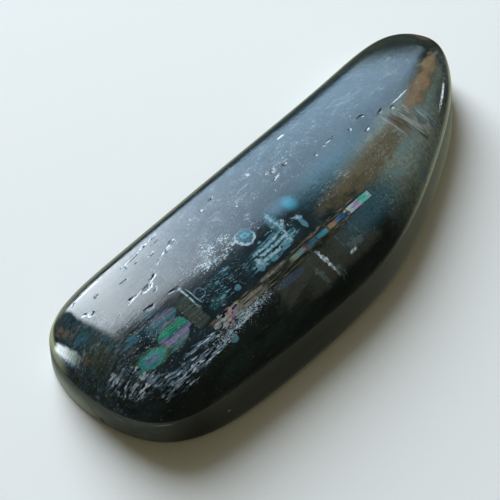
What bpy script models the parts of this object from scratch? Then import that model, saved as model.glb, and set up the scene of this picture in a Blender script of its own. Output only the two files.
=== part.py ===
"""A polished piece of dark kyanite, one solid stone that lies on its flat base.

Seen from above it is a long blade with one straight side and one bellied side, a broad blunt end
and a narrower round end. A satin wall stands on the base and leans in a little. Above the girdle
a tight shoulder turns into a broad, gently domed crown.

Sizes are in millimetres here. X runs along the stone from the blunt end to the narrow end, +Y is
the straight side, Z is up, and the origin is at the middle of the base.
"""

import math

import bmesh
import bpy
import numpy as np

MM = 0.001

LENGTH = 45.9  # over the base, end to end
GIRDLE_HEIGHT = 2.35  # where the satin wall meets the polished crown
BASE_ROUND = 0.22  # radius of the worn edge around the base
SHOULDER_RADIUS = 1.7
NARROW_SHOULDER_RADIUS = 2.1  # the shoulder is rounder at the narrow end
ROUNDER_FROM_X = 4.0
SHOULDER_SLOPE = math.radians(65.0)  # the crown's slope where it leaves the girdle
DOME_RISE = 2.35  # from the shoulder to the top of the crown
BLUNT_END_DROP = 0.05  # how much lower the dome is at each end
NARROW_END_DROP = 1.25

# The girdle seen from above, along the straight side, round the blunt end, down the belly and round
# the narrow end. Each point is x, y and how far the wall's foot stands out past the girdle there.
GIRDLE = (
    (-1.8, 7.4, 0.35),
    (-13.9, 7.35, 0.30),
    (-21.2, 6.25, 0.00),
    (-22.95, 1.3, 0.00),
    (-21.75, -3.15, 0.05),
    (-17.6, -5.2, 0.80),
    (-9.8, -6.35, 1.00),
    (-0.3, -6.85, 0.80),
    (9.1, -4.8, 0.80),
    (17.1, -1.85, 0.70),
    (21.9, 1.45, 0.35),
    (22.1, 4.7, 0.40),
    (18.6, 7.25, 0.35),
    (10.5, 7.4, 0.35),
)

# The line under the crown's highest stretch, which bows towards the belly.
SPINE_BLUNT_X = -19.6
SPINE_NARROW_X = 18.5
SPINE_LOW_X = -2.5
SPINE_LOW_Y = 0.64
SPINE_BOW = 0.0042  # y gained per square millimetre of x away from SPINE_LOW_X

POINTS_AROUND = 112
SPLINE_STEPS = 40  # fine steps between two outline points
WALL_LEVELS = (0.2, 0.55, 0.88)  # parts of the way up from the base's round edge to the girdle
BASE_ROUND_STEPS = 3
SHOULDER_STEPS = 6
CROWN_LEVELS = (0.12, 0.28, 0.47, 0.68, 0.87, 1.0)  # parts of the way from the shoulder to the spine
BASE_LEVELS = (0.2, 0.6, 1.0)  # the same across the flat base
MERGE_DISTANCE = 0.01 * MM

BODY_COLOUR = (0.018, 0.040, 0.044, 1.0)
BODY_ROUGHNESS = 0.12
KYANITE_IOR = 1.72


def closed_spline(knots):
    """A smooth closed curve through the knots, with even curvature where two spans meet."""
    knots = np.array(knots)
    ahead = np.roll(knots, -1, axis=0)
    behind = np.roll(knots, 1, axis=0)
    ring = np.eye(len(knots))
    system = 4.0 * ring + np.roll(ring, 1, axis=0) + np.roll(ring, -1, axis=0)
    slopes = np.linalg.solve(system, 3.0 * (ahead - behind))
    slopes_ahead = np.roll(slopes, -1, axis=0)
    t = (np.arange(SPLINE_STEPS) / SPLINE_STEPS)[None, :, None]
    curve = (
        (2 * t**3 - 3 * t**2 + 1) * knots[:, None]
        + (t**3 - 2 * t**2 + t) * slopes[:, None]
        + (3 * t**2 - 2 * t**3) * ahead[:, None]
        + (t**3 - t**2) * slopes_ahead[:, None]
    )
    return curve.reshape(-1, knots.shape[1])


def even_steps(curve, count):
    """Points at even distances along an open curve, its last point left out."""
    lengths = np.linalg.norm(np.diff(curve[:, :2], axis=0), axis=1)
    along = np.concatenate(([0.0], np.cumsum(lengths)))
    places = np.linspace(0.0, along[-1], count, endpoint=False)
    return np.column_stack([np.interp(places, along, column) for column in curve.T])


def girdle_and_lean():
    """The girdle's points in order from the blunt tip, and how far the wall's foot stands out."""
    curve = closed_spline(GIRDLE)
    curve = np.roll(curve, -int(curve[:, 0].argmin()), axis=0)
    far_tip = int(curve[:, 0].argmax())
    closed = np.vstack([curve, curve[:1]])
    belly_side = even_steps(closed[: far_tip + 1], POINTS_AROUND // 2)
    straight_side = even_steps(closed[far_tip:], POINTS_AROUND // 2)
    points = np.vstack([belly_side, straight_side])
    return points[:, :2], points[:, 2]


def outward(points):
    """Unit vectors that point out of a closed outline that runs anticlockwise."""
    along = np.roll(points, -1, axis=0) - np.roll(points, 1, axis=0)
    along /= np.linalg.norm(along, axis=1)[:, None]
    return np.column_stack([along[:, 1], -along[:, 0]])


def spine_under(points):
    """The spine point for each outline point, the same one for a point and its opposite."""
    opposite = np.roll(points[::-1], 1, axis=0)
    x = 0.5 * (points[:, 0] + opposite[:, 0])
    x = np.clip(x, SPINE_BLUNT_X, SPINE_NARROW_X)
    return np.column_stack([x, SPINE_LOW_Y + SPINE_BOW * (x - SPINE_LOW_X) ** 2])


def end_drop(x):
    """How much lower the dome is at a place along the stone."""
    drop = np.where(x < 0.0, BLUNT_END_DROP, NARROW_END_DROP)
    return drop * (x / (0.5 * LENGTH)) ** 2


def wall_rings(girdle, foot, normals):
    """The worn base edge and the leaning wall, from the base up to the girdle."""
    rings = []
    for step in range(BASE_ROUND_STEPS + 1):
        turn = 0.5 * math.pi * step / BASE_ROUND_STEPS
        inset = BASE_ROUND * (1.0 - math.sin(turn))
        height = BASE_ROUND * (1.0 - math.cos(turn))
        rings.append((foot - inset * normals, height))
    for part in WALL_LEVELS + (1.0,):
        height = BASE_ROUND + part * (GIRDLE_HEIGHT - BASE_ROUND)
        rings.append((foot + part * (girdle - foot), height))
    return rings


def shoulder_radius(x):
    """The shoulder's radius at a place along the spine."""
    share = np.clip((x - ROUNDER_FROM_X) / (SPINE_NARROW_X - ROUNDER_FROM_X), 0.0, 1.0)
    blend = share**2 * (3.0 - 2.0 * share)
    return SHOULDER_RADIUS + (NARROW_SHOULDER_RADIUS - SHOULDER_RADIUS) * blend


def crown_rings(girdle, spine):
    """The shoulder's arc and the dome, from just above the girdle to the spine."""
    inward = spine - girdle
    reach = np.linalg.norm(inward, axis=1)
    inward /= reach[:, None]
    radius = shoulder_radius(spine[:, 0])
    shoulder_run = radius * math.sin(SHOULDER_SLOPE)
    full_rise = radius * (1.0 - math.cos(SHOULDER_SLOPE))
    steps = []
    for step in range(1, SHOULDER_STEPS + 1):
        slope = SHOULDER_SLOPE * (1.0 - step / SHOULDER_STEPS)
        run = shoulder_run - radius * math.sin(slope)
        rise = radius * (math.cos(slope) - math.cos(SHOULDER_SLOPE))
        steps.append((run, rise))
    for part in CROWN_LEVELS:
        steps.append((shoulder_run + part * (reach - shoulder_run), full_rise))
    rings = []
    for run, rise in steps:
        flat = girdle + run[:, None] * inward
        dome = (DOME_RISE - end_drop(flat[:, 0])) * (1.0 - (1.0 - run / reach) ** 2)
        rings.append((flat, GIRDLE_HEIGHT + rise + dome))
    return rings


def grow(mesh, ring, flat, height):
    """Extrude the closed ring of vertices and move the new ring to its place."""
    edges = [mesh.edges.get(pair) for pair in zip(ring, ring[1:] + ring[:1])]
    grown = bmesh.ops.extrude_edge_only(mesh, edges=edges)["geom"]
    fresh = {item for item in grown if isinstance(item, bmesh.types.BMVert)}
    above = []
    for vert in ring:
        neighbours = (edge.other_vert(vert) for edge in vert.link_edges)
        above.append(next(other for other in neighbours if other in fresh))
    heights = np.broadcast_to(height, len(above))
    for vert, (x, y), z in zip(above, flat, heights):
        vert.co = (x * MM, y * MM, z * MM)
    return above


def stone_material():
    material = bpy.data.materials.new("polished_kyanite")
    material.use_nodes = True
    shader = material.node_tree.nodes["Principled BSDF"]
    shader.inputs["Base Color"].default_value = BODY_COLOUR
    shader.inputs["Roughness"].default_value = BODY_ROUGHNESS
    shader.inputs["Metallic"].default_value = 0.0
    shader.inputs["IOR"].default_value = KYANITE_IOR
    return material


def kyanite():
    """The stone: one ring grown up the wall and over the crown, and in across the base."""
    girdle, lean = girdle_and_lean()
    normals = outward(girdle)
    foot = girdle + lean[:, None] * normals
    both = np.vstack([girdle, foot])
    lowest, highest = both.min(axis=0), both.max(axis=0)
    middle = 0.5 * (lowest + highest)
    to_length = LENGTH / (highest[0] - lowest[0])
    girdle = (girdle - middle) * to_length
    foot = (foot - middle) * to_length
    spine = spine_under(girdle)
    walls = wall_rings(girdle, foot, normals)
    first_flat, first_height = walls[0]

    mesh = bmesh.new()
    base_edge = [mesh.verts.new((x * MM, y * MM, first_height * MM)) for x, y in first_flat]
    for pair in zip(base_edge, base_edge[1:] + base_edge[:1]):
        mesh.edges.new(pair)
    ring = base_edge
    for flat, height in walls[1:] + crown_rings(girdle, spine):
        ring = grow(mesh, ring, flat, height)
    ring = base_edge
    for part in BASE_LEVELS:
        ring = grow(mesh, ring, first_flat + part * (spine - first_flat), first_height)
    bmesh.ops.remove_doubles(mesh, verts=mesh.verts, dist=MERGE_DISTANCE)
    bmesh.ops.recalc_face_normals(mesh, faces=mesh.faces)

    data = bpy.data.meshes.new("kyanite")
    mesh.to_mesh(data)
    mesh.free()
    data.shade_smooth()
    data.materials.append(stone_material())
    stone = bpy.data.objects.new("kyanite", data)
    bpy.context.scene.collection.objects.link(stone)


def main():
    for item in list(bpy.data.objects):
        bpy.data.objects.remove(item)
    kyanite()


main()
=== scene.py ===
"""Looks of the polished kyanite: its dark clear body, the films and splinters inside it, the pits in
its polish and the satin wall below.

Places on the stone are in millimetres: X runs from the blunt end to the narrow end, +Y is the
straight side, and Z is up from the base. Turns are in degrees, anticlockwise seen from above.
"""

import math

import bpy
from mathutils import Matrix, Vector


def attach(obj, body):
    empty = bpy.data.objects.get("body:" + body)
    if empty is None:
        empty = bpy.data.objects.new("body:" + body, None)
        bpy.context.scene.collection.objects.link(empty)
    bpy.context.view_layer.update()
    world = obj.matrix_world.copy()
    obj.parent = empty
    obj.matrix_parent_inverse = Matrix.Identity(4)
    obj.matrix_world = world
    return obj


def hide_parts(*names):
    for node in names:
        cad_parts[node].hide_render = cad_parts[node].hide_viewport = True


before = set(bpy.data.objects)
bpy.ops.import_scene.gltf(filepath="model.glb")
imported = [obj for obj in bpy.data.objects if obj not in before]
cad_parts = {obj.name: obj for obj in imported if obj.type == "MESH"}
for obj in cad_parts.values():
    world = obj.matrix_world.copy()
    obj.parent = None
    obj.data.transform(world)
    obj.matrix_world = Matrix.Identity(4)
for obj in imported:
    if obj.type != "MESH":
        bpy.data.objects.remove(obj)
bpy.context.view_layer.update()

MM = 0.001
GIRDLE_HEIGHT = 2.35  # where the satin wall meets the polish
KYANITE_IOR = 1.72
POLISH_ROUGHNESS = 0.085
SATIN_ROUGHNESS = 0.42
BLADE_TURN = -3.5  # the way that the stone's blades and its finest scratches run


class Value:
    """One output of a node. A sum or product of values adds the nodes that work it out."""

    def __init__(self, finish, output):
        self.finish = finish
        self.output = output

    def beside(self, name):
        """Another output of the same node."""
        return Value(self.finish, self.output.node.outputs[name])

    def __add__(self, other):
        return self.finish.maths("ADD", self, other)

    def __radd__(self, other):
        return self.finish.maths("ADD", other, self)

    def __sub__(self, other):
        return self.finish.maths("SUBTRACT", self, other)

    def __rsub__(self, other):
        return self.finish.maths("SUBTRACT", other, self)

    def __mul__(self, other):
        return self.finish.maths("MULTIPLY", self, other)

    def __rmul__(self, other):
        return self.finish.maths("MULTIPLY", other, self)

    def __abs__(self):
        return self.finish.maths("ABSOLUTE", self)


class Finish:
    """The nodes of one finish, with short ways to add the kinds that it uses."""

    def __init__(self, tree):
        self.tree = tree
        tree.nodes.clear()

    def node(self, kind, settings=None, inputs=None, output=0):
        """A new node: its settings come first, then its sockets' values or links."""
        node = self.tree.nodes.new(kind)
        for name, value in (settings or {}).items():
            if name == "stops":
                self.set_stops(node.color_ramp, value)
            else:
                setattr(node, name, value)
        for name, value in (inputs or {}).items():
            if isinstance(value, Value):
                self.tree.links.new(value.output, node.inputs[name])
            else:
                node.inputs[name].default_value = value
        return Value(self, node.outputs[output]) if node.outputs else None

    def set_stops(self, ramp, stops):
        while len(ramp.elements) < len(stops):
            ramp.elements.new(0.5)
        for element, (place, colour) in zip(ramp.elements, stops):
            element.position = place
            element.color = colour

    def maths(self, operation, first, second=0.0):
        return self.node("ShaderNodeMath", {"operation": operation}, {0: first, 1: second})

    def vector(self, operation, first, second=(0.0, 0.0, 0.0), output=0):
        inputs = {0: first, 1: second}
        return self.node("ShaderNodeVectorMath", {"operation": operation}, inputs, output)

    def step(self, value, start, end):
        """0 where the value is at start and 1 where it is at end, with a soft change between."""
        inputs = {"Value": value, "From Min": start, "From Max": end}
        return self.node("ShaderNodeMapRange", {"interpolation_type": "SMOOTHSTEP"}, inputs)

    def ramp(self, value, stops):
        return self.node("ShaderNodeValToRGB", {"stops": stops}, {0: value})

    def mix(self, share, below, above):
        inputs = {0: share, 6: below, 7: above}
        return self.node("ShaderNodeMix", {"data_type": "RGBA"}, inputs, output=2)

    def blend(self, share, below, above):
        return self.node("ShaderNodeMix", {"data_type": "FLOAT"}, {0: share, 2: below, 3: above})

    def flat(self, x, y):
        """A flat place for the frames of marks; its third part lets one dot product shift it."""
        return self.node("ShaderNodeCombineXYZ", None, {0: x, 1: y, 2: 1.0})

    def frame(self, flat, x, y, half_length, half_width, turn=0.0):
        """The place along and across a mark, counted in its half sizes from its middle."""
        cosine, sine = math.cos(math.radians(turn)), math.sin(math.radians(turn))
        along = Vector((cosine, sine, -x * cosine - y * sine)) / half_length
        across = Vector((-sine, cosine, x * sine - y * cosine)) / half_width
        return tuple(self.vector("DOT_PRODUCT", flat, axis, output="Value") for axis in (along, across))

    def squares(self, first, second):
        inputs = {0: first, 1: first, 2: second * second}
        return self.node("ShaderNodeMath", {"operation": "MULTIPLY_ADD"}, inputs)

    def reach(self, along, across):
        return self.maths("SQRT", self.squares(along, across))

    def stretched(self, place, sizes, turn=BLADE_TURN):
        """The place for a pattern whose grains have these sizes along its own turned axes."""
        inputs = {"Vector": place, "Rotation": (0.0, 0.0, math.radians(turn)), "Scale": sizes}
        return self.node("ShaderNodeMapping", {"vector_type": "TEXTURE"}, inputs)

    def noise(self, place, scale, detail=2.0, roughness=0.5, output=0):
        inputs = {"Vector": place, "Scale": scale, "Detail": detail, "Roughness": roughness}
        return self.node("ShaderNodeTexNoise", None, inputs, output)

    def fractal(self, place, sizes, turn=BLADE_TURN, detail=4.0, roughness=0.62):
        """A rough noise with grains of these sizes, spread out from about 0 to about 1."""
        raw = self.noise(self.stretched(place, sizes, turn), 1.0, detail, roughness)
        return raw * 2.4 - 0.7

    def flakes(self, place, sizes, turn=BLADE_TURN, metric="CHEBYCHEV"):
        """Cleavage flakes of these sizes: two random numbers for each, and how far out a place is."""
        inputs = {"Vector": self.stretched(place, sizes, turn), "Scale": 1.0}
        cells = self.node("ShaderNodeTexVoronoi", {"distance": metric}, inputs)
        first = self.node("ShaderNodeSeparateColor", None, {0: cells.beside("Color")})
        return first, first.beside("Green"), cells

    def parts(self, vector):
        x = self.node("ShaderNodeSeparateXYZ", None, {0: vector})
        return x, x.beside("Y"), x.beside("Z")

    def ovals(self, flat, table, edge=0.25):
        """1 inside any of the ovals in the table, falling to 0 over an edge of this share of them."""
        nearest = None
        for row in table:
            square = self.squares(*self.frame(flat, *row))
            nearest = square if nearest is None else self.maths("MINIMUM", nearest, square)
        return self.step(self.maths("SQRT", nearest), 1.0 + edge, 1.0 - edge)

    def bars(self, flat, table, edge=0.1):
        """1 inside any of the straight-sided bars in the table, falling to 0 over their edges."""
        nearest = None
        for row in table:
            along, across = self.frame(flat, *row)
            reach = self.maths("MAXIMUM", abs(along), abs(across))
            nearest = reach if nearest is None else self.maths("MINIMUM", nearest, reach)
        return self.step(nearest, 1.0 + edge, 1.0 - edge)

    def broken(self, mask, grain, bite=1.0, edge=0.08):
        """The mask with its soft rim bitten into a ragged one by the grain."""
        bitten = self.step(mask + (grain - 0.5) * bite, 0.5 - edge, 0.5 + edge)
        return bitten * self.step(mask, 0.0, 0.25)


class Coat:
    """Colours laid over each other, and how cloudy the stone is where they lie."""

    def __init__(self, finish, colour, cloud):
        self.finish = finish
        self.colour = colour
        self.cloud = cloud

    def lay(self, mask, colour, cloud=1.0):
        self.colour = self.finish.mix(mask, self.colour, colour)
        self.cloud = self.finish.blend(mask, self.cloud, cloud)


class Grain:
    """The noises that break up what lies in the stone, shared by all its marks."""

    def __init__(self, finish, place):
        self.place = place
        self.fine = finish.fractal(place, (0.30, 0.24, 0.3))
        self.strands = finish.fractal(place, (0.95, 0.17, 0.4))
        self.hairs = finish.fractal(place, (1.6, 0.09, 0.3), detail=2.0)
        self.across = finish.fractal(place, (0.13, 0.9, 0.4))
        self.cloud = finish.fractal(place, (1.5, 0.9, 1.0), detail=5.0)
        self.drift = finish.fractal(place, (3.2, 1.8, 2.0), turn=20.0, detail=3.0)


def tone(red, painted_green_glow, blue):
    return (red, painted_green_glow, blue, 1.0)


# Tones inside the stone.
DEEP = tone(0.005, 0.009, 0.010)
DEEP_TEAL = tone(0.017, 0.033, 0.041)
BELLY_BLACK = tone(0.003, 0.006, 0.005)
BELLY_GREEN = tone(0.011, 0.017, 0.013)
OLIVE_DARK = tone(0.020, 0.022, 0.010)
MOSS = tone(0.085, 0.105, 0.070)
GREY_GREEN = tone(0.27, 0.32, 0.26)
SEA_GREY = tone(0.13, 0.18, 0.175)
SLATE = tone(0.009, 0.015, 0.016)
CYAN = tone(0.045, 0.27, 0.36)
TEAL = tone(0.025, 0.12, 0.15)
SOFT_CYAN = tone(0.13, 0.28, 0.33)
PALE_VEIL = tone(0.33, 0.43, 0.47)
WHITE_VEIL = tone(0.60, 0.66, 0.70)
LAVENDER = tone(0.34, 0.33, 0.44)
TAN = tone(0.22, 0.18, 0.14)
RUST = tone(0.37, 0.235, 0.135)
RUST_DARK = tone(0.13, 0.105, 0.070)
BROWN = tone(0.155, 0.122, 0.066)
BROWN_DARK = tone(0.042, 0.034, 0.017)
NIGHT_BLUE = tone(0.032, 0.050, 0.078)

# Thin films break light into colours. Each set runs from the film's middle or tip outwards.
BLUNT_FILM = (
    (0.00, tone(0.17, 0.17, 0.27)),
    (0.30, tone(0.09, 0.20, 0.26)),
    (0.58, tone(0.04, 0.25, 0.25)),
    (0.86, tone(0.03, 0.22, 0.15)),
    (1.00, tone(0.07, 0.11, 0.05)),
)
SHELL_FILM = (
    (0.00, tone(0.03, 0.13, 0.13)),
    (0.18, tone(0.08, 0.18, 0.15)),
    (0.32, tone(0.21, 0.17, 0.28)),
    (0.46, tone(0.17, 0.15, 0.27)),
    (0.56, tone(0.03, 0.19, 0.15)),
    (0.70, tone(0.02, 0.22, 0.11)),
    (0.82, tone(0.05, 0.18, 0.14)),
    (0.92, tone(0.17, 0.14, 0.20)),
    (1.00, tone(0.05, 0.09, 0.08)),
)
UPPER_FILM = (
    (0.00, tone(0.02, 0.05, 0.07)),
    (0.35, tone(0.05, 0.10, 0.15)),
    (0.55, tone(0.04, 0.14, 0.13)),
    (0.75, tone(0.14, 0.12, 0.19)),
    (1.00, tone(0.04, 0.08, 0.11)),
)

# The main cleavage seam runs nearly straight along the stone. Its colours follow it from the blunt end.
SEAM_START_X = -15.4
SEAM_END_X = 1.3
SEAM_MIDDLE = (-7.05, -2.98)
SEAM_TURN = -2.9
SEAM_STOPS = (
    (0.00, tone(0.12, 0.11, 0.10)),
    (0.03, tone(0.42, 0.43, 0.46)),
    (0.06, tone(0.20, 0.22, 0.22)),
    (0.085, tone(0.40, 0.42, 0.28)),
    (0.105, tone(0.46, 0.14, 0.27)),
    (0.125, tone(0.14, 0.38, 0.48)),
    (0.14, tone(0.42, 0.34, 0.13)),
    (0.16, tone(0.07, 0.07, 0.06)),
    (0.30, tone(0.10, 0.08, 0.07)),
    (0.42, tone(0.07, 0.075, 0.05)),
    (0.47, tone(0.20, 0.22, 0.15)),
    (0.50, tone(0.12, 0.26, 0.26)),
    (0.54, tone(0.26, 0.21, 0.24)),
    (0.57, tone(0.04, 0.09, 0.14)),
    (0.62, tone(0.04, 0.15, 0.22)),
    (0.68, tone(0.05, 0.23, 0.29)),
    (0.715, tone(0.30, 0.23, 0.10)),
    (0.75, tone(0.27, 0.13, 0.12)),
    (0.775, tone(0.05, 0.16, 0.28)),
    (0.80, tone(0.02, 0.10, 0.25)),
    (0.825, tone(0.03, 0.04, 0.03)),
    (0.84, tone(0.42, 0.54, 0.47)),
    (0.88, tone(0.34, 0.41, 0.48)),
    (0.905, tone(0.56, 0.24, 0.54)),
    (0.93, tone(0.12, 0.52, 0.34)),
    (0.965, tone(0.08, 0.46, 0.44)),
    (1.00, tone(0.46, 0.52, 0.50)),
)
LINE_STOPS = (
    (0.20, tone(0.005, 0.007, 0.005)),
    (0.45, tone(0.022, 0.024, 0.013)),
    (0.58, tone(0.036, 0.050, 0.026)),
    (0.72, tone(0.110, 0.080, 0.052)),
    (0.90, tone(0.270, 0.240, 0.200)),
)
SPLINTER_STOPS = (
    (0.22, tone(0.004, 0.007, 0.008)),
    (0.40, tone(0.012, 0.020, 0.024)),
    (0.47, tone(0.080, 0.140, 0.190)),
    (0.53, tone(0.016, 0.020, 0.018)),
    (0.60, tone(0.210, 0.310, 0.390)),
    (0.66, tone(0.060, 0.085, 0.100)),
    (0.73, tone(0.360, 0.480, 0.580)),
    (0.82, tone(0.860, 0.920, 0.980)),
    (0.92, tone(0.240, 0.190, 0.160)),
)
DEPTH_STOPS = (
    (0.25, tone(0.005, 0.010, 0.012)),
    (0.45, tone(0.010, 0.032, 0.042)),
    (0.60, tone(0.020, 0.085, 0.105)),
    (0.68, tone(0.022, 0.050, 0.026)),
    (0.76, tone(0.050, 0.036, 0.026)),
    (0.88, tone(0.110, 0.270, 0.330)),
)
BLUNT_END_STOPS = (
    (0.00, tone(0.003, 0.005, 0.005)),
    (0.28, tone(0.006, 0.012, 0.014)),
    (0.38, tone(0.034, 0.040, 0.011)),
    (0.46, tone(0.007, 0.014, 0.016)),
    (0.55, tone(0.012, 0.066, 0.085)),
    (0.64, tone(0.052, 0.034, 0.026)),
    (0.73, tone(0.009, 0.015, 0.017)),
    (0.86, tone(0.090, 0.140, 0.165)),
    (1.00, tone(0.230, 0.280, 0.300)),
)

# In each table a row is x, y, half length, half width and turn.
SPLINTERS = (
    (-20.75, -2.10, 1.00, 0.34, -14.0),
    (-19.80, -2.75, 0.90, 0.40, -12.0),
    (-18.60, -3.05, 1.30, 0.42, -6.0),
    (-17.30, -2.52, 0.95, 0.15, -4.0),
    (-17.20, -3.35, 1.35, 0.32, -6.0),
    (-16.00, -2.80, 0.85, 0.24, -3.0),
    (-15.70, -3.50, 0.90, 0.22, -4.0),
    (-19.50, -3.45, 1.10, 0.24, -16.0),
    (-21.70, -1.20, 0.35, 0.85, 25.0),
    (-20.95, -0.85, 0.50, 0.22, -30.0),
    (-14.00, -3.35, 1.20, 0.20, -3.0),
    (-21.90, -0.30, 0.30, 0.50, 20.0),
    (-20.60, -1.55, 0.60, 0.20, -20.0),
    (-20.30, -3.00, 0.60, 0.22, -14.0),
)
TEAL_DEPTHS = (
    (-21.20, 2.90, 0.55, 0.35, 70.0),
    (-18.90, 0.10, 0.80, 0.22, -8.0),
    (-13.40, -1.40, 1.30, 0.45, 0.0),
    (-12.40, -0.40, 1.50, 0.50, 0.0),
    (-8.10, -1.55, 2.20, 0.70, 0.0),
)
CYAN_DOTS = (
    (-4.70, -1.68, 0.24, 0.42, 0.0),
    (-12.10, -1.74, 0.28, 0.18, 0.0),
    (-13.25, -1.52, 0.30, 0.10, 0.0),
    (-12.75, -0.60, 0.20, 0.09, 0.0),
    (-8.48, -2.06, 0.34, 0.18, 0.0),
    (-7.15, -2.02, 0.44, 0.20, 0.0),
    (-9.75, -1.90, 0.24, 0.24, 0.0),
    (-14.80, -3.80, 0.26, 0.20, 0.0),
    (-8.30, -0.60, 0.18, 0.09, 0.0),
)
CASTLE = (
    (-8.30, -1.08, 1.70, 0.10, -1.0),
    (-8.00, -1.42, 2.05, 0.11, -1.0),
    (-8.00, -1.80, 1.90, 0.13, 0.0),
    (-6.32, -0.95, 0.16, 0.85, -8.0),
    (-6.75, -1.90, 0.55, 0.18, 0.0),
    (-9.60, -1.70, 0.38, 0.32, 0.0),
    (-6.25, 0.05, 0.14, 0.45, -6.0),
    (-5.95, -0.70, 0.30, 0.12, 30.0),
    (-4.72, -1.15, 0.42, 0.13, -20.0),
)
THICK_DUST = (
    (-12.30, 0.72, 1.20, 0.45, -12.0),
    (-11.35, 1.50, 0.75, 0.55, 10.0),
    (-9.75, 1.35, 0.55, 0.45, 0.0),
    (-12.30, -3.32, 2.30, 0.26, -3.0),
    (-15.30, -3.45, 1.10, 0.30, -4.0),
    (-7.10, 1.40, 0.40, 0.22, 40.0),
    (-10.20, 0.55, 1.20, 0.30, 10.0),
    (-7.40, 0.55, 0.40, 0.40, 0.0),
    (-5.10, -1.05, 1.10, 0.14, 0.0),
)
THIN_DUST = (
    (-2.50, 3.60, 15.50, 2.60, 0.0),
    (10.50, 3.20, 8.00, 2.80, 3.0),
    (-11.20, 1.40, 3.60, 1.70, 0.0),
    (-12.20, -0.60, 2.20, 0.90, 0.0),
    (-13.50, -3.40, 3.60, 0.60, -4.0),
    (-8.60, 2.60, 2.20, 0.70, 0.0),
    (-19.00, -0.60, 3.40, 2.60, 0.0),
    (-0.30, -1.20, 2.60, 0.80, 6.0),
    (2.60, -4.50, 2.40, 1.20, 5.0),
    (6.00, -2.20, 4.20, 1.60, 6.0),
    (12.50, 0.20, 3.00, 0.90, 12.0),
)
CRACKS = (
    (-0.70, 0.90, 2.20, 0.030, 69.5),
    (-5.40, 3.40, 2.60, 0.025, 8.0),
    (3.80, -0.20, 1.60, 0.025, 72.0),
    (-15.00, 2.00, 1.20, 0.025, 88.0),
    (-2.60, -4.60, 0.90, 0.025, 60.0),
)
FEATHERS = (
    (-5.72, -4.50, 0.17, 1.00, 8.0),
    (-3.50, -5.30, 0.40, 0.10, 6.0),
)
FAINT_FEATHERS = (
    (-6.80, -5.00, 0.30, 0.75, 4.0),
    (-1.95, -4.40, 0.06, 0.90, 5.0),
    (-3.80, -4.20, 0.05, 0.60, 3.0),
    (-5.40, -5.60, 0.30, 0.45, 10.0),
    (-2.70, -4.95, 0.90, 0.30, 0.0),
)
PALE_SCRATCHES = (
    (-12.50, 3.82, 1.05, 0.07, 14.0),
    (-13.95, 3.35, 0.30, 0.04, 20.0),
    (-16.10, 2.32, 0.60, 0.15, 8.0),
    (-15.40, 2.62, 0.55, 0.06, 14.0),
    (-17.10, 2.42, 0.90, 0.03, 6.0),
    (-15.90, 1.92, 0.35, 0.05, 20.0),
    (-19.85, 3.66, 0.26, 0.16, -20.0),
    (-20.15, 4.00, 0.20, 0.06, -50.0),
    (-15.45, 5.00, 0.22, 0.20, 40.0),
    (-14.50, 5.22, 0.75, 0.05, 6.0),
    (-13.20, 5.40, 0.40, 0.11, 6.0),
    (-12.10, 5.52, 0.60, 0.05, 8.0),
    (-13.60, 4.33, 0.45, 0.07, 8.0),
    (-14.80, 4.62, 0.30, 0.05, 8.0),
    (-12.50, 4.95, 0.40, 0.035, 3.0),
    (-18.40, 5.62, 1.50, 0.07, 4.0),
    (-15.20, 0.96, 0.50, 0.05, -4.0),
    (-18.90, 2.22, 0.16, 0.05, 30.0),
    (-3.50, 4.10, 0.16, 0.11, 50.0),
    (-2.75, 2.20, 0.34, 0.08, 12.0),
    (-1.05, 2.62, 0.17, 0.12, 0.0),
    (-8.35, 4.35, 0.14, 0.10, 60.0),
    (1.10, 1.35, 0.15, 0.09, 0.0),
    (2.35, 1.48, 0.15, 0.08, 0.0),
    (3.30, 1.55, 0.70, 0.05, 2.0),
    (5.20, 1.10, 0.18, 0.08, 50.0),
    (6.20, 0.15, 0.25, 0.09, 0.0),
    (11.30, 0.42, 1.20, 0.06, 2.0),
    (1.60, 4.90, 0.40, 0.10, 0.0),
)


def stone_place(finish):
    """The place on the stone in millimetres."""
    metres = finish.node("ShaderNodeTexCoord", output="Object")
    return finish.node("ShaderNodeMapping", None, {"Vector": metres, "Scale": (1.0 / MM,) * 3})


def stirred(finish, place, x, y):
    """The flat place with a small wander in it, so that what is drawn there has a natural edge."""
    sway = finish.noise(place, 1.3, detail=3.0, roughness=0.6)
    drift = finish.noise(finish.stretched(place, (0.7, 0.7, 0.7), 70.0), 1.0, detail=3.0, roughness=0.6)
    return finish.flat(x + (sway - 0.5) * 0.25, y + (drift - 0.5) * 0.16)


def ground(finish, grain, x, y):
    """The body under all the marks: teal black, blacker on the belly's shoulder, and milky at the
    narrow end's belly side."""
    belly = finish.mix(grain.cloud, BELLY_BLACK, BELLY_GREEN)
    crown = finish.mix(grain.cloud, DEEP, DEEP_TEAL)
    high = finish.step(y + grain.cloud * 0.9, -3.3, -2.1)
    coat = Coat(finish, finish.mix(high, belly, crown), finish.blend(high, 0.8, 0.75))
    milk = finish.mix(grain.fine, MOSS, GREY_GREEN)
    milk = finish.mix(finish.step(grain.drift, 0.5, 0.9), milk, SEA_GREY)
    narrow = finish.step(x + grain.drift * 3.0 + y * 0.5, -1.5, 6.5)
    low = finish.step(y - 0.11 * x + grain.cloud * 0.5, 0.2, -1.3)
    coat.lay(narrow * low, milk, 0.95)
    far_end = finish.step(x, 8.0, 15.0) * (1.0 - low)
    coat.lay(far_end * 0.9, finish.mix(grain.cloud, SLATE, OLIVE_DARK), 0.9)
    coat.lay(finish.step(grain.hairs, 0.70, 1.0) * 0.12, finish.mix(narrow, SEA_GREY, GREY_GREEN))
    coat.lay(finish.step(grain.strands, 0.62, 1.0) * 0.22, finish.mix(grain.drift, MOSS, TEAL))
    return coat


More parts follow.
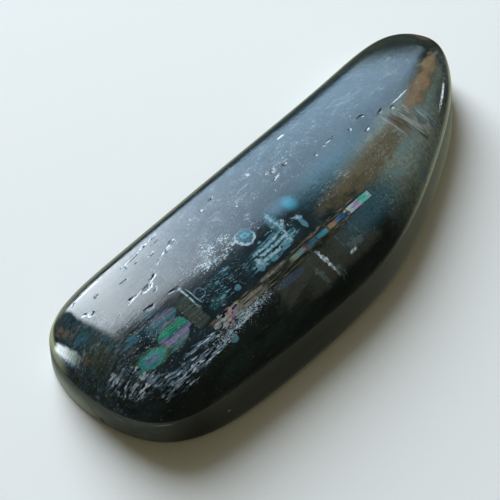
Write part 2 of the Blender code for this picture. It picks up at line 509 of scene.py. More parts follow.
def lay_blunt_end(finish, coat, grain, place, x, y):
    """The crowded blunt end: small flakes of teal, olive, brown and pale grey along the blades."""
    first, second, out = finish.flakes(grain.place, (0.42, 0.13, 0.3))
    near_end = finish.ovals(place, ((-21.3, 1.3, 2.2, 3.6, 8.0),), 0.5)
    colours = finish.ramp(first * 0.75 + grain.drift * 0.3 - 0.05, BLUNT_END_STOPS)
    coat.lay(near_end * finish.step(second + grain.cloud * 0.5, 0.35, 0.60) * 0.85, colours)
    olive = finish.ovals(place, ((-21.6, 1.4, 0.7, 1.1, 10.0),), 0.6)
    coat.lay(finish.broken(olive, grain.fine, 1.2) * 0.4, tone(0.040, 0.048, 0.014))
    coat.lay(finish.broken(near_end * 0.60, grain.hairs, 0.9, 0.05) * 0.22, tone(0.09, 0.13, 0.14))
    blots = finish.ovals(place, ((-21.42, 3.0, 0.35, 0.35, 0.0), (-19.75, 0.45, 0.45, 0.22, 0.0), (-17.5, 0.9, 0.5, 0.2, 0.0)), 0.7)
    coat.lay(finish.broken(blots * 0.8, grain.strands, 1.6, 0.3) * 0.7, tone(0.025, 0.110, 0.155))
    chip = finish.ovals(place, ((-21.40, 4.60, 0.25, 0.80, -6.0), (-22.0, 2.0, 0.2, 0.6, 10.0)), 0.6)
    coat.lay(finish.broken(chip * 0.75, grain.fine, 1.7, 0.2) * 0.6, tone(0.110, 0.070, 0.048))


def lay_rust(finish, coat, grain, place):
    """The iron stain along the narrow third, with its brightest streak beside the crown's top."""
    brown = finish.mix(grain.strands * 0.5 + grain.cloud * 0.5, BROWN_DARK, BROWN)
    broad = finish.ovals(place, ((3.2, -1.75, 5.4, 1.15, 3.0), (14.6, 0.25, 4.4, 0.85, 14.0)), 0.55)
    coat.lay(finish.broken(broad, grain.cloud, 0.9, 0.45) * 0.9, brown)
    streak = finish.ovals(
        place, ((12.2, -0.45, 1.4, 0.55, 8.0), (14.4, 0.10, 1.7, 0.55, 14.0), (17.0, 0.90, 1.4, 0.5, 22.0)), 0.6
    )
    coat.lay(finish.broken(streak, grain.cloud, 0.7, 0.45) * 0.8, finish.mix(grain.strands * 0.5 + grain.fine * 0.5, RUST_DARK, RUST))
    patches = finish.ovals(place, ((20.3, 3.6, 0.5, 0.9, -30.0), (4.6, -4.4, 0.9, 0.3, 0.0)), 0.7)
    coat.lay(finish.broken(patches, grain.cloud, 0.8, 0.4) * 0.6, tone(0.105, 0.060, 0.040))
    teal = finish.ovals(place, ((7.2, -2.7, 1.0, 0.35, 8.0), (5.2, -3.7, 1.1, 0.3, 0.0)), 0.7)
    coat.lay(finish.broken(teal, grain.strands, 1.0, 0.3) * 0.6, tone(0.120, 0.215, 0.210))
    tip = finish.ovals(place, ((15.6, -1.75, 2.3, 0.85, 27.0), (18.6, 0.5, 1.4, 0.5, 45.0)), 0.9)
    coat.lay(tip * (grain.cloud * 0.3 + 0.5), finish.mix(grain.fine, DEEP, NIGHT_BLUE))


def lay_lamellae(finish, coat, grain, place):
    """The cross plates of the narrow third, edge on: pale, red-brown and olive stripes."""
    plates = finish.step(finish.fractal(grain.place, (0.20, 2.4, 0.5), 12.0, detail=2.0), 0.25, 0.75)
    pale = finish.bars(place, ((10.35, -1.55, 0.75, 1.35, 12.0),), 0.22)
    coat.lay(pale * 0.85, finish.mix(plates, tone(0.100, 0.118, 0.110), tone(0.32, 0.32, 0.30)))
    red = finish.bars(place, ((8.90, -1.20, 0.40, 1.15, 7.0),), 0.25)
    coat.lay(red * 0.85, finish.mix(plates, tone(0.050, 0.032, 0.022), tone(0.150, 0.100, 0.075)))
    coat.lay(finish.bars(place, ((8.28, -1.00, 0.09, 1.10, 9.0),), 0.4) * 0.7, tone(0.27, 0.28, 0.27))
    olive = finish.bars(place, ((9.62, -2.00, 0.10, 1.35, 16.0), (9.95, -3.00, 0.18, 0.35, 25.0)), 0.4)
    coat.lay(finish.broken(olive, grain.fine, 0.7, 0.2) * 0.8, tone(0.055, 0.070, 0.018))
    blue = finish.bars(place, ((11.75, -2.00, 0.34, 1.00, 16.0),), 0.4)
    coat.lay(blue * 0.8, finish.mix(plates, tone(0.045, 0.075, 0.090), tone(0.26, 0.36, 0.40)))
    cross = finish.ovals(place, ((10.5, -3.0, 3.6, 1.5, 10.0), (5.5, -3.6, 2.0, 1.0, 5.0)), 0.6)
    coat.lay(cross * plates * 0.30, tone(0.30, 0.33, 0.29))
    coat.lay(finish.bars(place, ((18.8, 1.35, 0.7, 0.12, 8.0),), 0.6) * 0.6, tone(0.17, 0.19, 0.17))


def lay_film(finish, coat, grain, place, row, stops, along_share, out_share):
    """A thin gap in the stone: colours run along it, or from its middle out, and hairs cross it."""
    along, across = finish.frame(place, *row)
    reach = finish.reach(along, across)
    bend = across * (0.42 * along_share) + along * (0.20 * along_share) + reach * out_share
    thickness = bend + 0.5 * along_share + (grain.fine - 0.5) * 0.22
    mask = finish.step(reach + (grain.strands - 0.5) * 0.35 + (grain.drift - 0.5) * 0.35, 1.08, 0.92)
    colours = finish.mix(finish.step(grain.hairs, 0.50, 0.25) * 0.60, finish.ramp(thickness, stops), DEEP)
    coat.lay(mask, colours)


def lay_slab(finish, coat, grain, place):
    """A square-cut plate of grey stone beside the films, with pale lines down its edge."""
    coat.lay(
        finish.bars(place, ((-15.56, -0.86, 0.56, 1.08, 0.0),), 0.10) * 0.8,
        finish.mix(grain.hairs * 0.6 + grain.across * 0.4, tone(0.010, 0.018, 0.016), tone(0.090, 0.104, 0.080)),
    )
    edges = finish.bars(place, ((-14.95, -0.05, 0.07, 0.80, 0.0), (-14.62, -0.20, 0.035, 0.60, 2.0)), 0.5)
    coat.lay(edges * finish.step(grain.fine, 0.15, 0.6), tone(0.30, 0.44, 0.46))
    coat.lay(finish.bars(place, ((-16.16, -0.86, 0.03, 1.05, 0.0),), 0.6) * 0.6, DEEP)


def lay_seam(finish, coat, grain, place):
    """The straight cleavage seam: crowded flakes, then fine brown lines, then ribbons of film colour."""
    half_length = 0.5 * (SEAM_END_X - SEAM_START_X)
    along, across = finish.frame(place, *SEAM_MIDDLE, half_length, 1.0, SEAM_TURN)
    share = along * 0.5 + 0.5
    first, second, out = finish.flakes(grain.place, (0.30, 0.15, 0.3), SEAM_TURN)
    lines = finish.ramp(finish.fractal(grain.place, (1.3, 0.055, 0.3), SEAM_TURN, detail=3.0), LINE_STOPS)
    crowd = finish.step(share, 0.17, 0.13)
    smooth = finish.step(share, 0.44, 0.48)
    bed = finish.step(abs(across), 0.55, 0.34) * finish.step(share, -0.03, 0.02)
    bed = bed * finish.step(share, 0.86, 0.80)
    coat.lay(finish.broken(bed, grain.strands, 1.0, 0.25) * 0.8, finish.mix(grain.fine * 0.6, lines, DEEP))
    jitter = (first - 0.5) * finish.blend(crowd, 0.030, 0.07)
    colours = finish.ramp(share + jitter, SEAM_STOPS)
    colours = finish.mix(finish.step(second, 0.32, 0.24) * crowd, colours, DEEP)
    colours = finish.mix(finish.step(grain.hairs, 0.50, 0.25) * 0.55, colours, DEEP)
    flaky = finish.broken(finish.step(abs(across), 0.62, 0.25), first, 0.7, 0.1) * crowd
    half_width = finish.blend(finish.step(share, 0.80, 0.84), 0.185, 0.27)
    even = finish.step(abs(across - 0.02) - half_width, 0.0, -0.035) * smooth
    ends = finish.step(abs(along), 1.0, 0.99)
    coat.lay(finish.maths("MAXIMUM", flaky, even) * ends, colours)
    rim = finish.step(abs(across - 0.40), 0.06, 0.015) + finish.step(abs(across + 0.42), 0.05, 0.01)
    coat.lay(rim * finish.step(grain.strands, 0.40, 0.75) * ends * 0.6, tone(0.17, 0.115, 0.075))
    gaps = finish.bars(place, tuple((x, -2.98 + (x + 6.0) * -0.05, 0.10, 0.5, 4.0) for x in (-6.1, -5.0, -3.7, -1.45)), 0.8)
    coat.lay(gaps * 0.85, tone(0.050, 0.040, 0.024))
    cream = finish.bars(place, ((-3.05, -2.72, 2.30, 0.030, SEAM_TURN),), 0.6)
    coat.lay(cream * finish.step(grain.strands, 0.4, 0.8), tone(0.36, 0.28, 0.21))
    shards = finish.ovals(place, ((-12.1, -2.78, 1.7, 0.30, SEAM_TURN), (-9.3, -2.60, 1.2, 0.16, SEAM_TURN)), 0.5)
    coat.lay(finish.broken(shards * 0.70, grain.hairs, 1.3, 0.10) * 0.75, finish.mix(grain.fine, BROWN_DARK, tone(0.36, 0.33, 0.28)))


def lay_eye(finish, coat, grain, place):
    """A round film with a pale ring and a cyan swirl, and a smaller faint ring by the slab."""
    along, across = finish.frame(place, -8.62, 0.40, 0.92, 0.74, 0.0)
    wobble = finish.reach(along, across) + (grain.fine - 0.5) * 0.30
    coat.lay(finish.step(wobble, 1.0, 0.8) * 0.8, tone(0.045, 0.12, 0.15))
    ring = finish.step(abs(wobble - 0.84), 0.17, 0.05) * finish.step(along + across, 1.1, -0.4)
    coat.lay(ring * (grain.fine * 0.6 + 0.3), SOFT_CYAN)
    coat.lay(finish.broken(ring * 0.8, grain.fine, 0.9), PALE_VEIL)
    middle = finish.frame(place, -8.55, 0.45, 0.40, 0.24, -12.0)
    swirl = finish.reach(*middle) + (grain.strands - 0.5) * 0.6
    coat.lay(finish.step(swirl, 1.05, 0.75), CYAN)
    coat.lay(finish.step(swirl, 0.50, 0.25), TEAL)
    small = finish.frame(place, -14.25, -0.32, 0.48, 0.40, 0.0)
    away = finish.reach(*small) + (grain.fine - 0.5) * 0.2
    coat.lay(finish.step(abs(away - 0.85), 0.2, 0.05) * 0.6, tone(0.10, 0.17, 0.22))


def lay_castle(finish, coat, grain, place):
    """The cluster of pale blue bars and dots between the eye and the seam."""
    haze = finish.ovals(place, ((0.4, 0.0, 3.8, 1.1, 4.0), (-5.2, 0.3, 1.3, 0.6, 0.0), (0.5, -4.2, 3.4, 0.9, 3.0)), 0.7)
    coat.lay(haze * 0.70, finish.mix(grain.fine, tone(0.020, 0.070, 0.090), tone(0.060, 0.140, 0.170)))
    mist = finish.ovals(place, ((-8.0, -1.45, 2.2, 0.70, -1.0), (-6.3, -0.5, 0.5, 0.9, 0.0)), 0.5)
    mist = finish.broken(mist * 0.85, grain.strands, 0.9, 0.3)
    coat.lay(mist * 0.75, finish.mix(grain.fine, tone(0.025, 0.075, 0.095), tone(0.130, 0.270, 0.330)))
    depths = finish.ovals(place, TEAL_DEPTHS, 0.6)
    specks = finish.ramp(grain.strands * 0.6 + grain.fine * 0.4, DEPTH_STOPS)
    coat.lay(finish.broken(depths * 0.8, grain.cloud, 0.9, 0.3) * 0.85, specks)
    bars = finish.bars(place, CASTLE, 0.6)
    coat.lay(finish.broken(bars * 0.70, grain.strands, 1.5, 0.20) * 0.85, SOFT_CYAN)
    coat.lay(finish.broken(bars * 0.50, grain.fine, 1.3, 0.10) * 0.9, PALE_VEIL)
    dashes = finish.ovals(place, ((-12.6, -1.1, 3.0, 1.2, 0.0), (-7.0, -1.2, 2.4, 1.1, 0.0)), 0.4)
    strokes = finish.fractal(grain.place, (0.40, 0.09, 0.3), -12.0, detail=2.0)
    coat.lay(finish.step(strokes + dashes * 0.35, 1.16, 1.26) * 0.9, finish.mix(grain.fine, CYAN, PALE_VEIL))
    dots = finish.ovals(place, CYAN_DOTS, 0.35)
    coat.lay(finish.broken(dots, grain.fine, 1.1, 0.25) * 0.9, finish.mix(grain.strands, TEAL, SOFT_CYAN))
    glow = finish.ovals(place, ((-4.08, 0.02, 0.52, 0.50, 0.0),), 0.7)
    aura = finish.ovals(place, ((-4.95, 0.35, 0.65, 0.45, 0.0),), 0.9)
    coat.lay(aura * 0.35, tone(0.10, 0.14, 0.26))
    coat.lay(glow * (grain.fine * 0.25 + 0.7), finish.mix(grain.drift, tone(0.03, 0.34, 0.44), tone(0.07, 0.24, 0.36)))


def lay_low_side(finish, coat, grain, place):
    """What shows on the belly's shoulder: a dark brown panel, a blue crescent and a painted green glow."""
    panel = finish.bars(place, ((-5.6, -4.65, 4.7, 1.10, -3.0),), 0.35)
    coat.lay(finish.broken(panel, grain.cloud, 0.7, 0.40) * 0.85,
             finish.mix(grain.across * 0.3 + grain.cloud * 0.7, tone(0.026, 0.030, 0.022), tone(0.066, 0.066, 0.050)))
    # Painted glow: dim green where light shows through the belly's lower edge.
    painted_green_glow = finish.ovals(place, ((-15.6, -4.85, 1.6, 0.35, -6.0), (-11.5, -5.4, 2.0, 0.3, -6.0)), 0.9)
    coat.lay(painted_green_glow * (grain.fine * 0.6 + 0.2), tone(0.020, 0.050, 0.040))
    crescent = finish.ovals(place, ((-8.65, -3.70, 1.25, 0.28, -4.0),), 0.35)
    coat.lay(finish.broken(crescent, grain.cloud, 0.9, 0.25) * 0.8, finish.mix(grain.fine, NIGHT_BLUE, tone(0.065, 0.080, 0.10)))
    black = finish.ovals(place, ((-9.6, -5.15, 2.2, 0.34, 10.0), (-4.0, -6.1, 4.0, 0.30, 0.0)), 0.7)
    coat.lay(finish.broken(black * 0.8, grain.strands, 0.9, 0.4) * 0.7, DEEP)


def lay_veils(finish, coat, grain, place):
    """The pale splinters with painted sparkle on them, the feathers and the scratches."""
    fibres = finish.fractal(grain.place, (0.85, 0.06, 0.3), -6.0, detail=4.0, roughness=0.7)
    shards, spare, out = finish.flakes(grain.place, (0.55, 0.10, 0.4), -6.0)
    colours = finish.ramp(shards * 0.50 + fibres * 0.50 + grain.fine * 0.30 - 0.15, SPLINTER_STOPS)
    splinters = finish.ovals(place, SPLINTERS, 0.6)
    coat.lay(finish.broken(splinters * 1.1, grain.strands, 0.9, 0.20), colours)
    # Painted sparkle: near-white glints laid on the splinters as highlights.
    painted_sparkle = finish.step(fibres * 0.6 + grain.fine * 0.55, 0.84, 0.96) * splinters
    coat.lay(painted_sparkle, tone(0.85, 0.93, 1.00))
    cracks = finish.bars(place, CRACKS, 0.8) * finish.step(grain.fine, 0.1, 0.7)
    coat.lay(cracks * 0.5, tone(0.20, 0.19, 0.17))
    feathers = finish.ovals(place, FEATHERS, 0.55)
    faint = finish.ovals(place, FAINT_FEATHERS, 0.7)
    coat.lay(finish.broken(faint * 0.7, grain.fine, 1.2, 0.2) * 0.6, tone(0.11, 0.15, 0.15))
    coat.lay(finish.broken(feathers * 0.80, grain.strands, 1.3, 0.10) * 0.85, tone(0.22, 0.29, 0.30))
    coat.lay(finish.broken(feathers * 0.55, grain.fine, 1.5, 0.12), WHITE_VEIL)
    scratches = finish.ovals(place, PALE_SCRATCHES, 0.45)
    coat.lay(finish.broken(scratches * 0.85, grain.fine, 0.9, 0.10), WHITE_VEIL)


def lay_dust(finish, coat, grain, flat):
    """Bright dust: grit that shows more of itself where the dust lies thick."""
    thin = finish.ovals(flat, THIN_DUST, 0.6)
    thick = finish.ovals(flat, THICK_DUST, 0.7)
    amount = thick * (grain.fine * 0.3 + 0.16) + thin * (grain.cloud * 0.22 + 0.09) + 0.12
    coarse = finish.fractal(grain.place, (0.17, 0.11, 0.2), detail=3.0, roughness=0.7)
    coat.lay(finish.step(coarse + amount, 1.14, 1.26) * 0.9, PALE_VEIL)
    smears = finish.step(grain.strands * 0.6 + grain.cloud * 0.5 + thin * 0.30, 0.95, 1.20) * thin
    coat.lay(smears * 0.24, PALE_VEIL)
    grit = finish.fractal(grain.place, (0.085, 0.07, 0.1), 40.0, detail=2.0)
    coat.lay(finish.step(grit + amount * 0.8, 1.14, 1.22) * 0.9, WHITE_VEIL)


def polished_top(finish, place, x, y):
    """The crown's colours, as they are seen through the polish."""
    grain = Grain(finish, place)
    flat = finish.flat(x, y)
    calm = stirred(finish, place, x, y)
    coat = ground(finish, grain, x, y)
    lay_blunt_end(finish, coat, grain, calm, x, y)
    lay_rust(finish, coat, grain, calm)
    lay_lamellae(finish, coat, grain, flat)
    lay_low_side(finish, coat, grain, calm)
    lay_film(finish, coat, grain, calm, (-17.45, 0.00, 1.15, 0.50, 3.0), UPPER_FILM, 1.0, 0.0)
    lay_film(finish, coat, grain, calm, (-17.45, -1.08, 1.30, 0.80, 8.0), SHELL_FILM, 1.0, 0.0)
    lay_film(finish, coat, grain, calm, (-19.70, -1.22, 1.22, 0.52, -8.0), BLUNT_FILM, 0.0, 1.0)
    lay_slab(finish, coat, grain, calm)
    lay_castle(finish, coat, grain, calm)
    lay_eye(finish, coat, grain, calm)
    lay_seam(finish, coat, grain, calm)
    lay_veils(finish, coat, grain, calm)
    lay_dust(finish, coat, grain, flat)
    return coat


def painted_edge_glow(finish, x, y, z):
    """Painted glow: a pale band where light would come through the thin rim of the straight side and the narrow end."""
    far = finish.step(y + finish.step(x, 14.0, 20.0) * 3.0, 2.8, 4.2)
    return far * finish.step(abs(z - (GIRDLE_HEIGHT + 0.35)), 0.65, 0.22)


def satin_wall(finish, place, x, y, z):
    """The ground wall: dark along the belly, and a painted milky glow at both ends and towards the blunt corner, palest
    at the foot, where light comes through.
    """
    mottle = finish.fractal(place, (1.2, 1.2, 0.8), 0.0)
    height = z + (mottle - 0.5) * 0.5
    belly = finish.ramp(
        height * (1.0 / GIRDLE_HEIGHT),
        (
            (0.05, tone(0.024, 0.021, 0.010)),
            (0.35, tone(0.016, 0.015, 0.009)),
            (0.65, tone(0.012, 0.016, 0.012)),
            (0.95, tone(0.026, 0.036, 0.030)),
        ),
    )
    # Painted glow of light coming through the narrow end's wall, palest at the foot.
    narrow = finish.ramp(
        height * (1.0 / GIRDLE_HEIGHT),
        (
            (0.05, tone(0.50, 0.47, 0.33)),
            (0.50, tone(0.22, 0.31, 0.27)),
            (0.90, tone(0.12, 0.18, 0.15)),
        ),
    )
    # Painted glow of light coming through the blunt end's wall, near white at the foot.
    blunt_end = finish.ramp(
        height * (1.0 / GIRDLE_HEIGHT),
        (
            (0.05, tone(0.85, 0.88, 0.70)),
            (0.40, tone(0.62, 0.68, 0.56)),
            (0.70, tone(0.28, 0.33, 0.27)),
            (0.95, tone(0.10, 0.12, 0.10)),
        ),
    )
    # Painted light: the belly wall made lighter towards the blunt end's corner.
    corner = finish.mix(mottle, tone(0.080, 0.095, 0.078), tone(0.150, 0.165, 0.135))
    colour = finish.mix(finish.step(x, 4.0, 15.0), belly, narrow)
    colour = finish.mix(finish.step(x - y * 0.3, -17.5, -21.5), colour, corner)
    colour = finish.mix(finish.step(x - y * 0.3, -22.2, -24.8), colour, blunt_end)
    end_face = finish.flat(y, z)
    slit = finish.bars(end_face, ((0.78, 1.11, 1.05, 0.035, 39.4),), 0.8)
    opening = finish.ovals(end_face, ((0.02, 0.50, 0.24, 0.13, 55.0),), 0.4)
    at_end = finish.step(x, -21.5, -22.0)
    colour = finish.mix(finish.maths("MAXIMUM", slit, opening) * at_end, colour, tone(0.012, 0.032, 0.034))
    flecks = finish.ovals(end_face, ((-1.21, 1.81, 0.30, 0.045, 10.0),), 0.6) * at_end
    belly_face = finish.flat(x, z)
    nicks = finish.ovals(belly_face, ((-21.3, 2.06, 0.40, 0.05, 4.0), (-17.4, 1.15, 0.12, 0.05, 0.0)), 0.6)
    flecks = flecks + nicks * finish.step(y, -1.0, -1.5)
    colour = finish.mix(flecks, colour, tone(0.34, 0.36, 0.32))
    scratch = finish.bars(belly_face, ((-15.5, 1.83, 0.55, 0.022, -5.0),), 0.8) * finish.step(y, -4.0, -4.5)
    return finish.mix(scratch, colour, tone(0.012, 0.012, 0.008))


def polish_relief(finish, place):
    """Hairlines and a faint unevenness left in the polish."""
    hairs = finish.noise(finish.stretched(place, (1.8, 0.07, 0.6), 4.0), 1.0, detail=2.0)
    waves = finish.noise(place, 2.2, detail=4.0, roughness=0.65)
    return hairs + waves


def stone_material():
    material = bpy.data.materials.new("polished_kyanite")
    material.use_nodes = True
    finish = Finish(material.node_tree)
    place = stone_place(finish)
    x, y, z = finish.parts(place)
    coat = polished_top(finish, place, x, y)
    # Painted glow along the thin rim, a pale cream tone laid over the polish colours.
    coat.lay(painted_edge_glow(finish, x, y, z), tone(0.30, 0.32, 0.19))
    polished = finish.step(z, GIRDLE_HEIGHT - 0.12, GIRDLE_HEIGHT + 0.12)
    colour = finish.mix(polished, satin_wall(finish, place, x, y, z), coat.colour)
    cloud = finish.blend(polished, 0.95, coat.cloud)
    wear = finish.fractal(place, (0.9, 0.35, 0.5))
    polish = POLISH_ROUGHNESS + (wear - 0.5) * 0.05 - finish.step(abs(x), 12.0, 19.0) * 0.06
    rough = finish.blend(polished, SATIN_ROUGHNESS, polish)
    bump = finish.node(
        "ShaderNodeBump",
        None,
        {"Strength": 0.35, "Distance": 0.02 * MM, "Height": polish_relief(finish, place)},
    )
    clear = finish.node(
        "ShaderNodeBsdfPrincipled",
        None,
        {
            "Base Color": tone(0.9, 0.9, 0.88),
            "Roughness": rough,
            "IOR": KYANITE_IOR,
            "Transmission Weight": 1.0,
            "Normal": bump,
        },
    )
    cloudy = finish.node(
        "ShaderNodeBsdfPrincipled",
        None,
        {"Base Color": colour, "Roughness": rough, "IOR": KYANITE_IOR, "Normal": bump},
    )
    surface = finish.node("ShaderNodeMixShader", None, {0: cloud, 1: clear, 2: cloudy})
    depth = finish.node(
        "ShaderNodeVolumeAbsorption", None, {"Color": tone(0.62, 0.58, 0.30), "Density": 900.0}
    )
    finish.node("ShaderNodeOutputMaterial", None, {"Surface": surface, "Volume": depth})
    return material


def crust_material():
    """Crushed, whitish stone in the pits."""
    material = bpy.data.materials.new("pit_crust")
    material.use_nodes = True
    finish = Finish(material.node_tree)
    place = stone_place(finish)
    grain = finish.fractal(place, (0.22, 0.12, 0.2))
    colour = finish.mix(finish.step(grain, 0.38, 0.60), tone(0.04, 0.05, 0.055), tone(0.66, 0.72, 0.78))
    shader = finish.node(
        "ShaderNodeBsdfPrincipled", None, {"Base Color": colour, "Roughness": 0.55, "IOR": KYANITE_IOR}
    )
    finish.node("ShaderNodeOutputMaterial", None, {"Surface": shader})
    return material


# The pits in the polish: x, y, half length, half width, depth, turn.
PITS = (
    (-16.2, 2.35, 0.50, 0.14, 0.10, 10.0),
    (-17.5, 2.50, 0.35, 0.05, 0.04, 4.0),
    (-15.5, 2.62, 0.40, 0.07, 0.05, 16.0),
    (-15.9, 1.88, 0.22, 0.06, 0.05, 20.0),
    (-19.80, 3.65, 0.20, 0.16, 0.07, -30.0),
    (-20.0, 4.05, 0.16, 0.07, 0.05, -50.0),
    (-19.5, 5.55, 0.35, 0.07, 0.05, 12.0),
    (-18.6, 5.75, 0.30, 0.06, 0.05, 5.0),
    (-18.4, 4.62, 0.28, 0.06, 0.06, 8.0),
    (-15.45, 5.00, 0.17, 0.15, 0.07, 40.0),
    (-14.4, 5.20, 0.45, 0.06, 0.05, 8.0),
    (-13.2, 5.38, 0.25, 0.09, 0.06, 10.0),
    (-12.1, 5.50, 0.40, 0.06, 0.05, 12.0),
    (-14.75, 4.60, 0.20, 0.06, 0.05, 10.0),
    (-13.6, 4.30, 0.30, 0.07, 0.05, 8.0),
    (-12.5, 4.95, 0.30, 0.05, 0.04, 4.0),
    (-12.75, 3.68, 0.40, 0.10, 0.07, 20.0),
    (-12.0, 3.95, 0.40, 0.08, 0.06, 14.0),
    (-13.8, 3.36, 0.16, 0.05, 0.04, 20.0),
    (-16.5, 4.00, 0.35, 0.04, 0.04, 2.0),
    (-18.9, 2.20, 0.14, 0.05, 0.04, 30.0),
    (-17.3, 1.20, 0.30, 0.04, 0.04, 0.0),
    (-15.2, 0.95, 0.45, 0.05, 0.04, -4.0),
    (-8.35, 4.35, 0.12, 0.09, 0.05, 60.0),
    (-6.95, 4.72, 0.20, 0.06, 0.05, 5.0),
    (-6.75, 2.68, 0.12, 0.06, 0.05, 40.0),
    (-3.50, 4.10, 0.14, 0.10, 0.05, 50.0),
    (-2.70, 3.05, 0.18, 0.10, 0.06, 30.0),
    (-2.35, 2.85, 0.12, 0.10, 0.06, 0.0),
    (-2.75, 2.20, 0.30, 0.07, 0.05, 12.0),
    (-1.05, 2.62, 0.16, 0.11, 0.05, 0.0),
    (1.10, 1.35, 0.14, 0.09, 0.05, 0.0),
    (2.35, 1.48, 0.14, 0.07, 0.04, 0.0),
    (3.30, 1.55, 0.35, 0.05, 0.04, 2.0),
    (5.20, 1.10, 0.16, 0.06, 0.05, 50.0),
    (6.95, 1.30, 0.35, 0.08, 0.06, 6.0),
    (8.60, 0.52, 0.32, 0.07, 0.06, -10.0),
    (9.80, 0.12, 0.22, 0.09, 0.05, 0.0),
    (6.15, 0.15, 0.20, 0.08, 0.05, 0.0),
)


def fine_stone():
    """The stone's solid again, refined until the polish runs smoothly over it."""
    bpy.ops.object.select_all(action="DESELECT")
    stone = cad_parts["kyanite"].copy()
    stone.data = stone.data.copy()
    stone.name = stone.data.name = "kyanite_stone"
    for key in list(stone.keys()):
        del stone[key]
    stone.parent = None
    bpy.context.scene.collection.objects.link(stone)
    bpy.context.view_layer.objects.active = stone
    stone.select_set(True)
    bpy.ops.object.mode_set(mode="EDIT")
    bpy.ops.mesh.select_all(action="SELECT")
    bpy.ops.mesh.remove_doubles(threshold=0.01 * MM)
    bpy.ops.mesh.tris_convert_to_quads(
        face_threshold=math.radians(50.0), shape_threshold=math.radians(60.0)
    )
    bpy.ops.object.mode_set(mode="OBJECT")
    refine = stone.modifiers.new("refine", "SUBSURF")
    refine.levels = refine.render_levels = 2
    bpy.ops.object.modifier_apply(modifier=refine.name)
    stone.data.materials.clear()
    stone.data.materials.append(stone_material())
    return stone


def pit_cutters(stone):
    """One ragged flattened ball over each pit, all joined."""
    crust = crust_material()
    bpy.context.view_layer.update()
    balls = []
    for number, (x, y, half_length, half_width, depth, turn) in enumerate(PITS):
        above = Vector((x * MM, y * MM, 20.0 * MM))
        found, point, normal, face = stone.ray_cast(above, Vector((0.0, 0.0, -1.0)))
        bpy.ops.object.select_all(action="DESELECT")
        bpy.ops.mesh.primitive_ico_sphere_add(subdivisions=2, radius=1.0)
        ball = bpy.context.object
        bpy.ops.object.mode_set(mode="EDIT")
        bpy.ops.transform.vertex_random(offset=0.22, uniform=1.0, normal=0.0, seed=number)
        bpy.ops.object.mode_set(mode="OBJECT")
        ball.scale = (half_length * MM / 0.87, half_width * MM / 0.87, 2.0 * depth * MM)
        upright = normal.to_track_quat("Z", "Y").to_matrix().to_4x4()
        turned = upright @ Matrix.Rotation(math.radians(turn), 4, "Z")
        middle = Matrix.Translation(point + normal * depth * MM)
        ball.matrix_world = middle @ turned @ Matrix.Diagonal((*ball.scale, 1.0))
        ball.data.materials.append(crust)
        balls.append(ball)
    bpy.ops.object.select_all(action="DESELECT")
    for ball in balls:
        ball.select_set(True)
    bpy.context.view_layer.objects.active = balls[0]
    bpy.ops.object.transform_apply(location=True, rotation=True, scale=True)
    bpy.ops.object.join()
    return balls[0]


def cut(stone, cutter):
    bpy.ops.object.select_all(action="DESELECT")
    stone.select_set(True)
    bpy.context.view_layer.objects.active = stone
    carve = stone.modifiers.new("carve", "BOOLEAN")
    carve.operation = "DIFFERENCE"
    carve.solver = "EXACT"
    carve.use_self = True
    carve.material_mode = "TRANSFER"
    carve.object = cutter
    bpy.ops.object.modifier_apply(modifier=carve.name)
    bpy.data.objects.remove(cutter)
    bpy.ops.object.shade_smooth_by_angle(angle=math.radians(40.0))


def lay_floor():
    bpy.ops.object.select_all(action="DESELECT")
    bpy.ops.mesh.primitive_plane_add(size=6.0, location=(0.0, 0.0, -0.03 * MM))
    floor = bpy.context.object
    floor.name = "floor"
    floor.visible_glossy = False
    material = bpy.data.materials.new("pale_floor")
    material.use_nodes = True
    shader = material.node_tree.nodes["Principled BSDF"]
    shader.inputs["Base Color"].default_value = tone(0.86, 0.87, 0.85)
    shader.inputs["Roughness"].default_value = 0.8
    shader.inputs["Specular IOR Level"].default_value = 0.2
    floor.data.materials.append(material)


# What the polish mirrors: a large window beyond the straight side, and two small bright things.
DIM_ROOM = tone(0.035, 0.035, 0.03)
WARM_ROOM = tone(0.13, 0.115, 0.070)
PANE_STOPS = (
    (0.25, tone(4.6, 5.2, 5.6)),
    (0.44, tone(4.9, 5.4, 5.8)),
    (0.54, tone(1.85, 2.4, 3.0)),
    (0.60, tone(1.30, 1.9, 2.5)),
    (0.80, tone(1.65, 2.5, 3.4)),
)


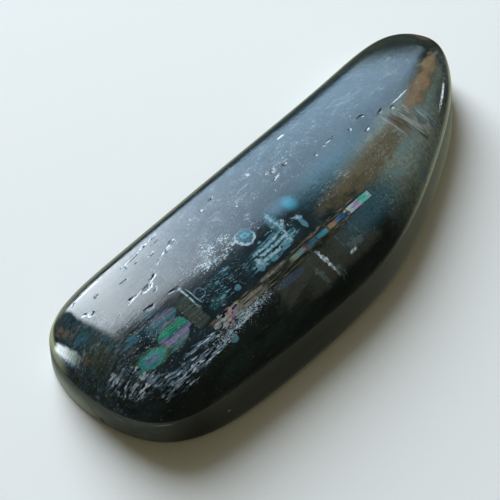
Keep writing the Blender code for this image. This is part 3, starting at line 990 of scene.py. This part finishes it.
def window_light():
    """The room as the polish mirrors it, and as a soft warm light in the shadows."""
    world = bpy.data.worlds.new("room")
    bpy.context.scene.world = world
    world.use_nodes = True
    finish = Finish(world.node_tree)
    x, y, z = finish.parts(finish.node("ShaderNodeTexCoord", output="Generated"))
    soft = 0.04 + 0.14 * finish.step(z, 0.25, 0.85)
    lean = 0.982 * x - 0.152 * y + 0.111 * z + 0.11 * finish.step(z, 0.05, 0.40)
    lean = lean - 0.5 * finish.maths("MAXIMUM", 0.5 - y, 0.0)
    left = finish.step(lean, 0.0 - soft, soft)
    from_bulge = x - 0.765
    edge = finish.maths("MAXIMUM", 0.045 - from_bulge * from_bulge * 13.4, -0.02)
    low = finish.step(0.746 * z + 0.359 * y - 0.56 * x - edge, -0.015, 0.015)
    right_end = 0.085 + 0.2 * finish.step(z, 0.70, 0.80)
    right = finish.step(y - right_end, -0.10, 0.12) * (0.72 + 0.28 * finish.step(y - right_end, 0.05, 0.45))
    mirrored = finish.mix(left * low * right, DIM_ROOM, finish.ramp(x, PANE_STOPS))
    beyond = finish.step(z, -0.30, -0.52) * finish.step(x, 0.05, 0.25)
    mirrored = finish.mix(beyond, mirrored, tone(0.46, 0.48, 0.34))
    below = finish.step(0.386 * x + 0.560 * y + 0.732 * z, 0.035, 0.015)
    above = 0.164 * x + 0.591 * y + 0.790 * z
    sides = finish.step(0.565 * x + 0.825 * y, -0.03, 0.04) * finish.step(0.899 * x + 0.438 * y, 0.02, 0.0)
    mirrored = finish.mix(below * sides * finish.step(above, -0.075, -0.05), mirrored, tone(0.35, 0.55, 1.3))
    card = finish.mix(finish.step(x, -0.60, -0.80), tone(6.5, 7.4, 7.6), tone(2.2, 2.9, 2.5))
    mirrored = finish.mix(below * sides * finish.step(above, -0.02, 0.0), mirrored, card)
    lamp = finish.step(abs(y + 0.290 * x), 0.034, 0.018) * finish.step(abs(z + 0.05), 0.075, 0.040)
    shine = finish.mix(finish.step(z, -0.03, 0.05), tone(5.4, 5.6, 6.2), tone(1.9, 2.2, 1.3))
    mirrored = finish.mix(lamp * finish.step(x, 0.5, 0.6), mirrored, shine)
    path = finish.node("ShaderNodeLightPath", output="Is Camera Ray")
    seen = finish.mix(path.beside("Is Diffuse Ray"), mirrored, WARM_ROOM)
    seen = finish.mix(path, seen, tone(0.75, 0.78, 0.78))
    background = finish.node("ShaderNodeBackground", None, {"Color": seen})
    finish.node("ShaderNodeOutputWorld", None, {"Surface": background})


WINDOW_TOWARDS = (0.28, 0.80, 0.50)
WINDOW_DISTANCE = 0.55
WINDOW_WIDTH = 0.43


def room_lights():
    """The window's light on the floor and in the stone: cool, broad and from low on the far side."""
    light = bpy.data.lights.new("window", "AREA")
    light.shape = "DISK"
    light.size = WINDOW_WIDTH
    light.energy = 5.15
    light.color = (0.82, 0.90, 1.0)
    lamp = bpy.data.objects.new("window", light)
    bpy.context.scene.collection.objects.link(lamp)
    towards = Vector(WINDOW_TOWARDS).normalized()
    lamp.location = towards * WINDOW_DISTANCE
    lamp.rotation_euler = towards.to_track_quat("Z", "Y").to_euler()
    lamp.visible_glossy = False


# The camera looks down on the stone from beyond its blunt end.
CAMERA_AIM = (-5.25, 1.86, 0.0)
CAMERA_DISTANCE = 69.1
CAMERA_HEADING = 30.92  # from +X towards +Y
CAMERA_ELEVATION = 50.0
CAMERA_ROLL = 9.0
CAMERA_ANGLE = 30.0


def add_camera():
    camera = bpy.data.objects.new("camera", bpy.data.cameras.new("camera"))
    bpy.context.scene.collection.objects.link(camera)
    heading = math.radians(CAMERA_HEADING)
    level = math.cos(math.radians(CAMERA_ELEVATION))
    forward = Vector(
        (
            level * math.cos(heading),
            level * math.sin(heading),
            -math.sin(math.radians(CAMERA_ELEVATION)),
        )
    )
    upright = forward.to_track_quat("-Z", "Y").to_matrix().to_4x4()
    rolled = upright @ Matrix.Rotation(math.radians(CAMERA_ROLL), 4, "Z")
    stand = (Vector(CAMERA_AIM) - forward * CAMERA_DISTANCE) * MM
    camera.matrix_world = Matrix.Translation(stand) @ rolled
    camera.data.angle = math.radians(CAMERA_ANGLE)
    camera.data.clip_start = 1.0 * MM
    bpy.context.scene.camera = camera


stone = fine_stone()
cut(stone, pit_cutters(stone))
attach(stone, "root")
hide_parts("kyanite")

lay_floor()
window_light()
room_lights()
add_camera()
bpy.context.scene.view_settings.view_transform = "Standard"
